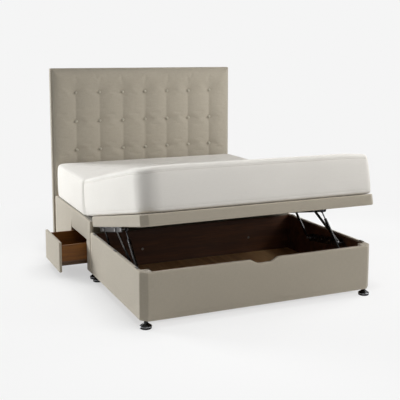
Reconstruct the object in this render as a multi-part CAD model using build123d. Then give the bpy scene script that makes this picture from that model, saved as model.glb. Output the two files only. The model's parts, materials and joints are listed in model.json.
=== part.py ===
from build123d import *
import math
import os

# Ottoman divan bed: a storage half with a lifting lid at the foot, a drawer half at the head,
# a floor standing buttoned headboard and a mattress that bends over both halves.
# Millimetres. X is the bed's width, +Y points to the head, +Z is up.
# The origin is on the floor under the middle of the headboard.
# It is drawn as photographed: lid up, left drawer part way out, right drawer shut.

# Overall sizes
bed_width = 1500.0
half_length = 1000.0
joint_gap = 1.0
feet_height = 45.0
storage_height = 276.0
lid_gap = 2.5
lid_depth = 66.5
lid_rear_gap = 8.0
lift_angle = 12.0
pole_height = 579.0

# Boards
panel = 20.0
inner_panel = 18.0
liner = 6.0
liner_step = 8.0
floor_board = 9.0
bearer_width = 60.0
bearer_depth = 18.0
cross_bearers = 3
corner_chamfer = 38.0
corner_round = 8.0
post_tail = 27.0
front_drop = 3.0
notch_width = 200.0
notch_depth = 25.0
head_block = 50.0
foot_inset = 35.0

# Lid
lid_rail = 60.0
lid_board = 12.0
lid_slat = 20.0
lid_slat_width = 70.0
lid_slats = 5
buffer_side = 14.0
buffer_length = 40.0
buffer_clearance = 0.3

# Lifting mechanism, places along the bed as shares of a half's length
pole_share = 0.1955
rear_pin_share = 0.108
front_pin_share = 0.3574
strut_pin_share = 0.4754
rear_base_share = 0.336
front_base_share = 0.7083
strut_base_share = 0.775
pin_drop = 21.0
rear_base_height = 218.6
front_base_height = 270.0
strut_base_height = 208.0
rod_shown = 74.0
link_offset = 49.5
link_thickness = 5.0
link_width = 20.0
plate_thickness = 3.0
plate_width = 50.0
rail_thickness = 3.5
rail_drop = 34.0
rail_flange = 18.0
rail_start = 20.0
rail_gap = 1.5
pin_radius = 4.0
pin_head_radius = 9.0
pin_head = 5.5
pin_nut_radius = 11.0
running_gap = 0.06
play = 0.3
slot_play = 1.7
travel_steps = 12
spacer_radius = 7.0
strut_plane_offset = 71.0
eye_thickness = 10.0
eye_radius = 13.0
cylinder_radius = 9.5
cylinder_wall = 1.5
cap = 6.0
rod_radius = 4.0
piston = 12.0
screw_radius = 2.5
screw_head_radius = 5.0
screw_head = 2.5
screw_length = 18.0

# Drawers
drawer_from_joint = 98.0
drawer_opening = 418.5
drawer_top = 207.0
drawer_reveal = 2.5
drawer_front = 18.0
drawer_out = 187.0
drawer_held = 140.0
runner_space = 12.5
box_board = 12.0
box_height = 124.0
box_depth = 560.0
box_lift = 57.0
box_bottom = 5.0
box_groove = 4.0
runner_sheet = 1.2
runner_height = 24.0
runner_flange = 10.0
runner_short = 60.0
runner_lip = 8.8
runner_web_rise = 14.0
roller_radius = 9.5
roller_width = 7.0
roller_setback = 15.0

# Glides
glide_radius = 33.0
glide_pad = 12.0
glide_collar_radius = 34.5
glide_collar = 5.0
glide_cap_radius = 22.0
glide_cap = 8.0
glide_stem_radius = 6.0
glide_stem_bite = 15.0

# Headboard
headboard_width = 1510.0
headboard_height = 1370.0
headboard_thickness = 75.0
headboard_gap = 20.0
headboard_wall = 8.5
headboard_rim = 60.0
pad_thickness = 28.0
pad_margin = 14.0
pad_start = 345.0
pad_edge = 12.0
pad_crown = 60.0
pad_bend_share = 0.36
button_columns = 7
button_rows = 3
button_pitch_up = 223.0
button_first_drop = 188.0
button_radius = 13.0
button_depth = 7.0
tuft_radius = 60.0
tuft_depth = 9.0
channel_depth = 5.0
spacer_block = 60.0
headboard_bolt_height = 250.0
headboard_bolt_spread = 900.0

# Mattress
mattress_thickness = 260.0
mattress_inset = 5.0
mattress_crown = 12.0
mattress_bulge = 8.0
mattress_corner = 75.0
mattress_shell = 20.0
rest_gap = 0.3

# Joining bolts of the two halves
link_bolt_spread = 800.0
link_bolt_height = 180.0
link_bolt_radius = 4.0
link_bolt_head_radius = 9.0
link_bolt_head = 5.0

# One overrun for every cut
overrun = 5.0

# Places worked out from the sizes
side_x = bed_width / 2
head_end = -(headboard_thickness / 2 + headboard_gap)
joint_y = head_end - half_length
foot_end = joint_y - half_length
foot_rear = joint_y - joint_gap / 2
head_front = joint_y + joint_gap / 2
base_low = feet_height
storage_top = base_low + storage_height
lid_low = storage_top + lid_gap
deck_top = lid_low + lid_depth
lid_rear = joint_y - lid_rear_gap
pole_y = joint_y + pole_share * half_length
pole_z = pole_height
post_side = corner_chamfer + post_tail
floor_top = base_low + bearer_depth + floor_board
inner_x = side_x - panel
storage_rear = foot_rear - inner_panel
plate_face = inner_x - liner
deck_low = deck_top - inner_panel


def block(x0, x1, y0, y1, z0, z1):
    """A plain board between two corners."""
    return Pos((x0 + x1) / 2, (y0 + y1) / 2, (z0 + z1) / 2) * Box(x1 - x0, y1 - y0, z1 - z0)


def rod(x0, x1, y, z, radius):
    """A round bar along X."""
    bar = Cylinder(radius, abs(x1 - x0))
    return Pos((x0 + x1) / 2, y, z) * Rot(0, 90, 0) * bar


def rod_y(x, y0, y1, z, radius):
    """A round bar along Y."""
    return Pos(x, (y0 + y1) / 2, z) * Rot(90, 0, 0) * Cylinder(radius, abs(y1 - y0))


def prism_up(points, z0, z1):
    """An outline in plan raised between two heights."""
    face = make_face(Polyline(*points, close=True))
    return Pos(0, 0, z0) * extrude(face, amount=z1 - z0, dir=(0, 0, 1))


def mirrored(shape):
    """The same piece for the bed's other side."""
    return mirror(shape, about=Plane.YZ)


def both_sides(shape):
    """The piece and its twin on the other side."""
    return [shape, mirrored(shape)]


def opened(shape):
    """A piece drawn with the lid shut, turned up to the photographed pose."""
    return shape.rotate(Axis((0, pole_y, pole_z), (1, 0, 0)), -lift_angle)


def lifted_point(place, angle):
    """A point of the shut lid when the lid has turned by an angle."""
    y, z = place
    turn = math.radians(angle)
    across, up = y - pole_y, z - pole_z
    return (
        pole_y + across * math.cos(turn) + up * math.sin(turn),
        pole_z - across * math.sin(turn) + up * math.cos(turn),
    )


def save(name, *shapes):
    """Write one node, a single solid or a group of separate ones."""
    solids = [solid for shape in shapes for solid in shape.solids()]
    whole = solids[0] if len(solids) == 1 else Compound(children=solids)
    export_step(whole, f"parts/{name}.step")


os.makedirs("parts", exist_ok=True)

# Pins of the lifting mechanism, the strut's in the middle of the rail's web
rear_pin = rear_pin_share * half_length
front_pin = front_pin_share * half_length
strut_pin = strut_pin_share * half_length
shut_pins = {
    "rear": (lid_rear - rear_pin, lid_low - pin_drop),
    "front": (lid_rear - front_pin, lid_low - pin_drop),
    "strut": (lid_rear - strut_pin, lid_low - rail_drop / 2),
}
open_pins = {name: lifted_point(place, lift_angle) for name, place in shut_pins.items()}
travel = [lift_angle * step / travel_steps for step in range(travel_steps + 1)]
rear_base = (joint_y - rear_base_share * half_length, rear_base_height)
front_base = (joint_y - front_base_share * half_length, front_base_height)
strut_base = (joint_y - strut_base_share * half_length, strut_base_height)
link_x = side_x - link_offset
link_out = link_x + link_thickness / 2
link_in = link_x - link_thickness / 2
rail_in = link_out + rail_gap
rail_out = rail_in + rail_thickness
strut_x = side_x - strut_plane_offset
eye_out = strut_x + eye_thickness / 2
eye_in = strut_x - eye_thickness / 2

# Storage half at the foot
post_points = [
    (-side_x, foot_end + post_side),
    (-side_x, foot_end + corner_chamfer),
    (-side_x + corner_chamfer, foot_end),
    (-side_x + post_side, foot_end),
    (-side_x + post_side, foot_end + post_side),
]
foot_places = [
    (side, y)
    for side in (-side_x + foot_inset, side_x - foot_inset)
    for y in (foot_end + foot_inset, joint_y - foot_inset, joint_y + foot_inset, head_end - foot_inset)
]
stem_tools = [
    Pos(x, y, base_low + glide_stem_bite / 2) * Cylinder(glide_stem_radius + running_gap, glide_stem_bite)
    for x, y in foot_places
]


def drilled(shape, tools):
    """Take a list of tools out of a piece."""
    for tool in tools:
        shape = shape - tool
    return shape


def corner_post():
    """Solid corner post with the bed's chamfered, softly rounded outer face."""
    post = prism_up(post_points, base_low, storage_top)
    reach = -side_x + foot_end + corner_chamfer + corner_round
    outer = [edge for edge in post.edges().filter_by(Axis.Z) if edge.center().X + edge.center().Y < reach]
    return fillet(ShapeList(outer), corner_round)


posts = both_sides(corner_post())
save("foot_corner_posts", *[drilled(post, stem_tools) for post in posts])

plate_screw_shares = (0.14, 0.38, 0.62, 0.86)


def plate_screw_places():
    """Screws of a base plate, set in from its two pivots."""
    across = front_base[0] - rear_base[0]
    up = front_base[1] - rear_base[1]
    return [(rear_base[0] + across * share, rear_base[1] + up * share) for share in plate_screw_shares]


plate_screw_tools = [
    rod(-plate_face - screw_length, -plate_face + plate_thickness, y, z, screw_radius + running_gap)
    for y, z in plate_screw_places()
]

side_panel = block(-side_x, -inner_x, foot_end + post_side, foot_rear, base_low, storage_top)
side_panel = drilled(side_panel, plate_screw_tools)
save("foot_side_panel_left", side_panel)
save("foot_side_panel_right", mirrored(side_panel))

front_x = side_x - post_side
front_top = storage_top - front_drop


def finger_notch():
    """Smooth dip in the front panel's top edge, a flat bottom between two rounded shoulders."""
    half = notch_width / 2
    third = half / 3
    inner, outer = third + third / 2, half - third / 2
    low = front_top - notch_depth
    middle = front_top - notch_depth / 2
    flare = notch_depth / 8
    top = front_top + overrun
    outline = [
        Line((-half, top), (-half, front_top)),
        ThreePointArc((-half, front_top), (-outer, front_top - flare), (third - half, middle)),
        ThreePointArc((third - half, middle), (-inner, low + flare), (-third, low)),
        Line((-third, low), (third, low)),
        ThreePointArc((third, low), (inner, low + flare), (half - third, middle)),
        ThreePointArc((half - third, middle), (outer, front_top - flare), (half, front_top)),
        Line((half, front_top), (half, top)),
        Line((half, top), (-half, top)),
    ]
    face = Plane.XZ * make_face(outline)
    return Pos(0, foot_end - overrun, 0) * extrude(face, amount=panel + liner + 2 * overrun, dir=(0, 1, 0))


notch = finger_notch()
front_panel = block(-front_x, front_x, foot_end, foot_end + panel, base_low, front_top)
save("foot_front_panel", front_panel - notch)

rear_panel = block(-inner_x, inner_x, storage_rear, foot_rear, base_low, storage_top)
link_bolt_places = (-link_bolt_spread / 2, link_bolt_spread / 2)
link_bolt_hole = link_bolt_radius + running_gap
link_bolt_tools = [
    rod_y(x, storage_rear - overrun, head_front + inner_panel + overrun, link_bolt_height, link_bolt_hole)
    for x in link_bolt_places
]
save("foot_rear_panel", drilled(rear_panel, link_bolt_tools))

floor_low = base_low + bearer_depth
floor = block(-inner_x, inner_x, foot_end + panel, storage_rear, floor_low, floor_top)
post_room = block(-side_x, -side_x + post_side, foot_end, foot_end + post_side, base_low, storage_top)
save("foot_floor_board", drilled(floor, both_sides(post_room)))


def floor_bearers():
    """Two long timbers and the cross timbers between them, under the storage floor."""
    start = foot_end + post_side
    long_bearer = block(-inner_x, -inner_x + bearer_width, start, storage_rear, base_low, floor_low)
    pitch = (storage_rear - start) / cross_bearers
    cross_x = inner_x - bearer_width
    middles = [start + pitch * (index + 1 / 2) for index in range(cross_bearers)]
    cross = [
        block(-cross_x, cross_x, y - bearer_width / 2, y + bearer_width / 2, base_low, floor_low)
        for y in middles
    ]
    return [drilled(piece, stem_tools) for piece in both_sides(long_bearer) + cross]


save("foot_floor_bearers", *floor_bearers())

liner_top = storage_top - liner_step
liner_side = block(-inner_x, -plate_face, foot_end + post_side, storage_rear - liner, floor_top, liner_top)
liner_side = drilled(liner_side, plate_screw_tools)
save("storage_liner_sides", *both_sides(liner_side))
liner_front = block(-front_x, front_x, foot_end + panel, foot_end + panel + liner, floor_top, front_top)
head_holes = [
    rod_y(x, storage_rear - liner - overrun, storage_rear, link_bolt_height, link_bolt_head_radius + play)
    for x in link_bolt_places
]
liner_rear = block(-inner_x, inner_x, storage_rear - liner, storage_rear, floor_top, liner_top)
save("storage_liner_ends", liner_front - notch, drilled(liner_rear, head_holes))


def lid_buffers():
    """Felt strips on the top edges that the shut lid comes down on."""
    height = lid_gap - buffer_clearance
    side_middle = -side_x + panel / 2
    ys = (foot_end + post_side + buffer_length, (foot_end + joint_y) / 2, joint_y - post_side)
    return [
        piece
        for y in ys
        for piece in both_sides(
            block(
                side_middle - buffer_side / 2,
                side_middle + buffer_side / 2,
                y - buffer_length / 2,
                y + buffer_length / 2,
                storage_top,
                storage_top + height,
            )
        )
    ]


save("lid_buffers", *lid_buffers())


def bar_between(start, end, width, x0, x1, extra=0.0):
    """A flat bar with round ends between two pivots in the plane of the bed's side."""
    across, up = end[0] - start[0], end[1] - start[1]
    length = math.hypot(across, up)
    longer = length + extra
    face = SlotCenterToCenter(longer, width)
    bar = extrude(face, amount=abs(x1 - x0), dir=(0, 0, 1))
    bar = Pos(longer / 2, 0, 0) * bar
    low_x = min(x0, x1)
    along = (0, across / length, up / length)
    turned = Plane(origin=(low_x, start[0], start[1]), x_dir=along, z_dir=(1, 0, 0))
    return turned * bar


def mechanism_plate():
    """Steel base plate that carries both pivots, screwed through the liner."""
    outer, inner = -plate_face, -plate_face + plate_thickness
    bar = bar_between(front_base, rear_base, plate_width, outer, inner)
    bar = bar + bar_between(strut_base, front_base, plate_width, outer, inner)
    screws = [
        rod(outer - overrun, inner + overrun, y, z, screw_radius + running_gap)
        for y, z in plate_screw_places()
    ]
    pivots = [
        rod(outer - overrun, inner + overrun, y, z, pin_radius + running_gap)
        for y, z in (rear_base, front_base, strut_base)
    ]
    return drilled(bar, screws + pivots)


save("mechanism_plates", *both_sides(mechanism_plate()))


def plate_screw(y, z):
    """Pan head screw through the plate and liner into the side panel."""
    shank = rod(-plate_face - screw_length, -plate_face + plate_thickness, y, z, screw_radius)
    head_x = -plate_face + plate_thickness
    return shank + rod(head_x, head_x + screw_head, y, z, screw_head_radius)


save("plate_screws", *[piece for y, z in plate_screw_places() for piece in both_sides(plate_screw(y, z))])


def base_pivot(place, inner):
    """Shouldered pivot bolt riveted in the base plate, its head inboard."""
    y, z = place
    shank = rod(-plate_face, -inner + play, y, z, pin_radius)
    return shank + rod(-inner + play, -inner + play + pin_head, y, z, pin_head_radius)


save(
    "base_pivot_bolts",
    *both_sides(base_pivot(rear_base, link_in)),
    *both_sides(base_pivot(front_base, link_in)),
    *both_sides(base_pivot(strut_base, eye_in)),
)


def spacer(place, x0, x1):
    """Tube on a pivot bolt that holds the next piece off."""
    y, z = place
    tube = rod(-x0, -x1, y, z, spacer_radius)
    return tube - rod(-x0 - overrun, -x1 + overrun, y, z, pin_radius + running_gap)


plate_side = plate_face - plate_thickness
save(
    "base_pivot_spacers",
    *both_sides(spacer(rear_base, plate_side, link_out + play)),
    *both_sides(spacer(front_base, plate_side, link_out + play)),
    *both_sides(spacer(strut_base, plate_side, eye_out + play)),
)

# Drawer half at the head
opening_foot = joint_y + drawer_from_joint
opening_head = opening_foot + drawer_opening
opening_top = base_low + drawer_top
head_panel = block(-side_x, -inner_x, head_front, head_end, base_low, deck_top)
cut_out = block(
    -side_x - overrun, -inner_x + overrun, opening_foot, opening_head, base_low - overrun, opening_top
)
head_panel = head_panel - cut_out
save("head_side_panel_left", head_panel)
save("head_side_panel_right", mirrored(head_panel))

bolt_places = (-headboard_bolt_spread / 2, headboard_bolt_spread / 2)
headboard_front = -headboard_thickness / 2 + pad_thickness
bolt_reach = headboard_front + headboard_rim / 2
bolt_tools = [
    rod_y(x, head_end - panel - overrun, bolt_reach, headboard_bolt_height, link_bolt_hole)
    for x in bolt_places
]
head_rear_panel = block(-inner_x, inner_x, head_end - panel, head_end, base_low, deck_top)
save("head_rear_panel", drilled(head_rear_panel, bolt_tools))
head_front_panel = block(-inner_x, inner_x, head_front, head_front + inner_panel, base_low, deck_top)
save("head_front_panel", drilled(head_front_panel, link_bolt_tools))
save(
    "head_deck_board",
    block(-inner_x, inner_x, head_front + inner_panel, head_end - panel, deck_low, deck_top),
)


def head_blocks():
    """Timber blocks in the four corners, from the underside up to the deck."""
    foot_side = block(
        -inner_x,
        -inner_x + head_block,
        head_front + inner_panel,
        head_front + inner_panel + head_block,
        base_low,
        deck_low,
    )
    head_side = block(
        -inner_x, -inner_x + head_block, head_end - panel - head_block, head_end - panel, base_low, deck_low
    )
    return [drilled(piece, stem_tools) for piece in both_sides(foot_side) + both_sides(head_side)]


save("head_corner_blocks", *head_blocks())
save(
    "drawer_bay_walls",
    block(-inner_x, inner_x, opening_foot - inner_panel, opening_foot, base_low, deck_low),
    block(-inner_x, inner_x, opening_head, opening_head + inner_panel, base_low, deck_low),
)
save(
    "drawer_bay_spine",
    block(-inner_panel / 2, inner_panel / 2, opening_foot, opening_head, base_low, deck_low),
)

# Drawer runners, drawn for the left drawer's foot side and mirrored from there
opening_middle = (opening_foot + opening_head) / 2
box_low = base_low + box_lift
runner_top = box_low - runner_sheet - play - runner_sheet / 2
runner_low = runner_top - runner_height
runner_length = box_depth - runner_short
drawer_travel = box_depth - drawer_held
front_roller_x = -inner_x + roller_setback
rear_roller_x = front_roller_x + drawer_travel + 2 * roller_radius + roller_setback


def twin_in_bay(shape):
    """The piece and its twin at the drawer's other side."""
    return [shape, mirror(shape, about=Plane((0, opening_middle, 0), z_dir=(0, 1, 0)))]


def fixed_runner():
    """Channel screwed to the bay wall, its upper flange cut back for the front roller."""
    x0, x1 = -inner_x, -inner_x + runner_length
    y = opening_foot
    web = block(x0, x1, y, y + runner_sheet, runner_low, runner_top)
    lower = block(x0, x1, y, y + runner_flange, runner_low, runner_low + runner_sheet)
    upper_start = front_roller_x + roller_radius + roller_setback
    upper = block(upper_start, x1, y, y + runner_flange, runner_top - runner_sheet, runner_top)
    return web + lower + upper


def fixed_roller():
    """Nylon roller at the front of the fixed channel, which carries the drawer's lip."""
    y = opening_foot + runner_sheet
    z = runner_top + runner_sheet / 2 - roller_radius
    return rod_y(front_roller_x, y, y + roller_width, z, roller_radius)


def in_bays(shape):
    """Four copies, two for each drawer."""
    return [piece for side in twin_in_bay(shape) for piece in both_sides(side)]


save("fixed_runners", *in_bays(fixed_runner()))
save("fixed_runner_rollers", *in_bays(fixed_roller()))

box_foot = opening_foot + runner_space
box_head = opening_head - runner_space
box_start = -side_x + drawer_front
box_end = box_start + box_depth


def drawer_runner():
    """Profile on the box's lower edge: web, ledge under the side board, and a lip outside."""
    web_low = box_low - runner_web_rise
    web = block(box_start, box_start + runner_length, box_foot - runner_sheet, box_foot,
                web_low, box_low + runner_web_rise)
    ledge = block(box_start, box_start + runner_length, box_foot, box_foot + box_board,
                  box_low - runner_sheet, box_low)
    lip = block(box_start, box_start + runner_length, box_foot - runner_sheet - runner_lip, box_foot,
                box_low - runner_sheet, box_low)
    return web + ledge + lip


def drawer_roller():
    """Nylon roller at the back of the drawer's profile, inside the fixed channel."""
    y = box_foot - runner_sheet
    z = (runner_low + runner_top) / 2
    return rod_y(rear_roller_x, y - roller_width, y, z, roller_radius)


def drawer_box():
    """Two side boards and the back board between them."""
    side = block(box_start, box_end, box_foot, box_foot + box_board, box_low, box_low + box_height)
    back = block(box_end - box_board, box_end, box_foot + box_board, box_head - box_board, box_low,
                 box_low + box_height)
    return twin_in_bay(side) + [back]


def drawer_bottom():
    """Thin bottom board between the sides, the back and the front."""
    low = box_low + box_groove
    return block(box_start, box_end - box_board, box_foot + box_board, box_head - box_board, low,
                 low + box_bottom)


def drawer_face():
    """Upholstered front that fills the side panel's cut-out."""
    return block(-side_x, box_start, opening_foot + drawer_reveal, opening_head - drawer_reveal, base_low,
                 opening_top - drawer_reveal)


drawer_pieces = {
    "drawer_front": [drawer_face()],
    "drawer_box": drawer_box(),
    "drawer_bottom": [drawer_bottom()],
    "drawer_runners": twin_in_bay(drawer_runner()),
    "drawer_rollers": twin_in_bay(drawer_roller()),
}
for piece_name, pieces in drawer_pieces.items():
    save(f"{piece_name}_left", *[Pos(-drawer_out, 0, 0) * piece for piece in pieces])
    save(f"{piece_name}_right", *[mirrored(piece) for piece in pieces])


def joining_bolt(x):
    """Bolt, head and nut that hold the two halves together."""
    start = storage_rear
    end = head_front + inner_panel
    shank = rod_y(x, start, end, link_bolt_height, link_bolt_radius)
    head = rod_y(x, start - link_bolt_head, start, link_bolt_height, link_bolt_head_radius)
    nut = rod_y(x, end, end + link_bolt_head, link_bolt_height, link_bolt_head_radius)
    return shank + head + nut


save("linking_bolts", *[joining_bolt(x) for x in link_bolt_places])


# Glides under both halves
def glide_pad_solid():
    """Black foot that meets the floor, round at its lower edge."""
    foot = Pos(0, 0, glide_pad / 2) * Cylinder(glide_radius, glide_pad)
    low_edge = foot.edges().sort_by(Axis.Z)[0]
    foot = fillet(low_edge, glide_pad / 3)
    neck = Pos(0, 0, glide_pad + glide_collar / 2) * Cylinder(glide_cap_radius, glide_collar)
    top = glide_pad + glide_collar
    cone = Pos(0, 0, top + glide_cap / 2) * Cone(glide_cap_radius, glide_cap_radius / 2, glide_cap)
    return foot + neck + cone


def glide_stem_solid():
    """Bright collar round the foot, and the stem that screws up into the base."""
    collar = Pos(0, 0, glide_pad + glide_collar / 2) * (
        Cylinder(glide_collar_radius, glide_collar) - Cylinder(glide_cap_radius + running_gap, glide_collar)
    )
    low = glide_pad + glide_collar + glide_cap
    high = base_low + glide_stem_bite
    stem = Pos(0, 0, (low + high) / 2) * Cylinder(glide_stem_radius, high - low)
    return [collar, stem]


save("glide_pads", *[Pos(x, y, 0) * glide_pad_solid() for x, y in foot_places])
save("glide_stems", *[Pos(x, y, 0) * piece for x, y in foot_places for piece in glide_stem_solid()])

# Headboard
headboard_x = headboard_width / 2
frame_rear = headboard_thickness / 2
frame = block(-headboard_x, headboard_x, headboard_front, frame_rear, 0, headboard_height)
hollow = block(
    -headboard_x + headboard_rim,
    headboard_x - headboard_rim,
    headboard_front + headboard_wall,
    frame_rear - headboard_wall,
    headboard_bolt_height + headboard_rim,
    headboard_height - headboard_rim,
)
pad_front = -headboard_thickness / 2
save("headboard_frame", drilled(frame - hollow, bolt_tools))

pad_x = headboard_x - pad_margin
pad_top = headboard_height - pad_margin
column_pitch = headboard_width / (button_columns + 1)
button_xs = [column_pitch * (index - (button_columns - 1) / 2) for index in range(button_columns)]
button_zs = [headboard_height - button_first_drop - button_pitch_up * row for row in range(button_rows)]


def headboard_pad():
    """Padded face: soft channels between the button columns, rounded ends, and a hollow at each button."""
    valley = pad_front + channel_depth
    edge_y = pad_front + pad_edge
    xs = [-pad_x] + button_xs + [pad_x]
    heights = [edge_y] + [valley] * button_columns + [edge_y]
    edges = [Line((-pad_x, headboard_front), (-pad_x, edge_y))]
    for index in range(len(xs) - 1):
        middle_x = (xs[index] + xs[index + 1]) / 2
        start = (xs[index], heights[index])
        end = (xs[index + 1], heights[index + 1])
        edges.append(ThreePointArc(start, (middle_x, pad_front), end))
    edges.append(Line((pad_x, edge_y), (pad_x, headboard_front)))
    edges.append(Line((pad_x, headboard_front), (-pad_x, headboard_front)))
    body = Pos(0, 0, pad_start) * extrude(make_face(edges), amount=pad_top - pad_start, dir=(0, 0, 1))
    bend_y = pad_front + pad_edge * pad_bend_share
    bend_up = pad_crown / 3
    side = [
        Line((headboard_front, pad_start), (edge_y, pad_start)),
        ThreePointArc((edge_y, pad_start), (bend_y, pad_start + bend_up), (pad_front, pad_start + pad_crown)),
        Line((pad_front, pad_start + pad_crown), (pad_front, pad_top - pad_crown)),
        ThreePointArc((pad_front, pad_top - pad_crown), (bend_y, pad_top - bend_up), (edge_y, pad_top)),
        Line((edge_y, pad_top), (headboard_front, pad_top)),
        Line((headboard_front, pad_top), (headboard_front, pad_start)),
    ]
    profile = Plane.YZ * make_face(side)
    rounded = extrude(profile, amount=2 * (pad_x + overrun), dir=(1, 0, 0))
    body = body & (Pos(-pad_x - overrun, 0, 0) * rounded)
    dip = pad_front + tuft_depth - tuft_radius
    hollows = [Pos(x, dip, z) * Sphere(tuft_radius) for x in button_xs for z in button_zs]
    return drilled(body, hollows)


save("headboard_pad", headboard_pad())


def button(x, z):
    """Domed covered button seated in its hollow."""
    rise = tuft_radius - math.sqrt(tuft_radius**2 - button_radius**2)
    seat = pad_front + tuft_depth - rise - rest_gap
    disc = Pos(x, seat - button_depth / 2, z) * Rot(90, 0, 0) * Cylinder(button_radius, button_depth)
    front_edge = disc.edges().sort_by(Axis.Y)[0]
    return fillet(front_edge, button_depth / 2)


save("headboard_buttons", *[button(x, z) for x in button_xs for z in button_zs])
spacer_solids = [
    block(x - spacer_block / 2, x + spacer_block / 2, head_end, headboard_front,
          headboard_bolt_height - spacer_block / 2, headboard_bolt_height + spacer_block / 2)
    for x in bolt_places
]
save("headboard_spacers", *[drilled(piece, bolt_tools) for piece in spacer_solids])


def headboard_bolt(x):
    """Bolt from inside the drawer half through the spacer into the headboard's frame."""
    start = head_end - panel
    shank = rod_y(x, start, bolt_reach - overrun, headboard_bolt_height, link_bolt_radius)
    return shank + rod_y(x, start - link_bolt_head, start, headboard_bolt_height, link_bolt_head_radius)


save("headboard_bolts", *[headboard_bolt(x) for x in bolt_places])

# Lid, drawn shut and then turned up
lid_points = [
    (-side_x, foot_end + lid_rail),
    (-side_x, foot_end + corner_chamfer),
    (-side_x + corner_chamfer, foot_end),
    (side_x - corner_chamfer, foot_end),
    (side_x, foot_end + corner_chamfer),
    (side_x, foot_end + lid_rail),
]


def lid_front():
    """Front rail of the lid with the chamfered, rounded corners of the base below it."""
    rail = prism_up(lid_points, lid_low, deck_top)
    soft = [
        edge
        for edge in rail.edges().filter_by(Axis.Z)
        if edge.center().Y < foot_end + (corner_chamfer + lid_rail) / 2
    ]
    return fillet(ShapeList(soft), corner_round)


save("lid_front_rail", opened(lid_front()))
lid_side = block(-side_x, -side_x + lid_rail, foot_end + lid_rail, lid_rear - lid_rail, lid_low, deck_top)
rail_screw_shares = (0.08, 0.36, 0.64, 0.92)


def upper_rail_y(share):
    """Place along the upper rail, from its head end to its foot end."""
    return lid_rear - rail_start - (strut_pin + eye_radius - rail_start) * share


rail_screw_x = -rail_out - rail_flange / 2
rail_screw_tools = [
    Pos(rail_screw_x, upper_rail_y(share), lid_low) * Cylinder(screw_radius + running_gap, 2 * screw_length)
    for share in rail_screw_shares
]
lid_side = drilled(lid_side, rail_screw_tools)
save("lid_side_rails", *[opened(piece) for piece in both_sides(lid_side)])
lid_rear_solid = block(-side_x, side_x, lid_rear - lid_rail, lid_rear, lid_low, deck_top)
lid_rear_tools = [twin for tool in rail_screw_tools for twin in both_sides(tool)]
save("lid_rear_rail", opened(drilled(lid_rear_solid, lid_rear_tools)))
lid_inner_x = side_x - lid_rail
lid_board_low = deck_top - lid_board
lid_board_solid = block(
    -lid_inner_x, lid_inner_x, foot_end + lid_rail, lid_rear - lid_rail, lid_board_low, deck_top
)
save("lid_deck_board", opened(lid_board_solid))


def lid_slat_solids():
    """Cross slats under the deck board, from side rail to side rail."""
    span = lid_rear - foot_end - 2 * lid_rail
    pitch = span / lid_slats
    middle = [foot_end + lid_rail + pitch * (index + 1 / 2) for index in range(lid_slats)]
    return [
        block(-lid_inner_x, lid_inner_x, y - lid_slat_width / 2, y + lid_slat_width / 2,
              lid_board_low - lid_slat, lid_board_low)
        for y in middle
    ]


save("lid_slats", *[opened(piece) for piece in lid_slat_solids()])


def upper_rail():
    """Steel angle under the lid's side rail, its flange outboard, its web rounded at the strut's pin."""
    head = upper_rail_y(0)
    foot = lid_rear - strut_pin
    top = lid_low
    flange = block(-rail_out - rail_flange, -rail_in, foot, head, top - rail_thickness, top)
    web = block(-rail_out, -rail_in, foot, head, top - rail_drop, top)
    nose = rod(-rail_out, -rail_in, foot, top - rail_drop / 2, rail_drop / 2)
    holes = [
        rod(-rail_out - overrun, -rail_in + overrun, y, z, pin_radius + running_gap)
        for y, z in shut_pins.values()
    ]
    return drilled(flange + web + nose, holes + rail_screw_tools)


save("upper_rails", *[opened(piece) for piece in both_sides(upper_rail())])


def lid_stud(place, inner):
    """Stud through the rail's web with a nut outboard and another inboard of what it carries."""
    y, z = place
    outer_nut = rod(-rail_out - pin_head, -rail_out, y, z, pin_nut_radius)
    shank = rod(-rail_out, -inner + play, y, z, pin_radius)
    inner_nut = rod(-inner + play, -inner + play + pin_head, y, z, pin_nut_radius)
    return outer_nut + shank + inner_nut


lid_studs = (
    both_sides(lid_stud(shut_pins["rear"], link_in))
    + both_sides(lid_stud(shut_pins["front"], link_in))
    + both_sides(lid_stud(shut_pins["strut"], eye_in))
)
save("lid_pivot_studs", *[opened(piece) for piece in lid_studs])


def rail_screw(share):
    """Screw through the rail's flange up into the lid's side rail."""
    y = upper_rail_y(share)
    low = lid_low - rail_thickness
    shank = Pos(rail_screw_x, y, low + screw_length / 2) * Cylinder(screw_radius, screw_length)
    return shank + Pos(rail_screw_x, y, low - screw_head / 2) * Cylinder(screw_head_radius, screw_head)


rail_screws = [piece for share in rail_screw_shares for piece in both_sides(rail_screw(share))]
save("rail_screws", *[opened(piece) for piece in rail_screws])


# Links and gas struts, drawn as photographed
def link(base, top, shut):
    """Flat bar on its base pivot, its slot as long as the lid's pin runs along it while the lid turns."""
    length = math.dist(base, top)
    slips = [math.dist(base, lifted_point(shut, angle)) - length for angle in travel]
    near, far = min(slips) - play, max(slips) + play
    across, up = (top[0] - base[0]) / length, (top[1] - base[1]) / length
    bar = bar_between(base, top, link_width, -link_out, -link_in, far)
    bar = bar - rod(-link_out - overrun, -link_in + overrun, base[0], base[1], pin_radius + running_gap)
    slot_start = (top[0] + across * near, top[1] + up * near)
    slot_end = (top[0] + across * far, top[1] + up * far)
    slot_width = 2 * (pin_radius + slot_play)
    return bar - bar_between(slot_start, slot_end, slot_width, -link_out - overrun, -link_in + overrun)


rear_link = link(rear_base, open_pins["rear"], shut_pins["rear"])
front_link = link(front_base, open_pins["front"], shut_pins["front"])
save("rear_link_left", rear_link)
save("rear_link_right", mirrored(rear_link))
save("front_link_left", front_link)
save("front_link_right", mirrored(front_link))

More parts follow.
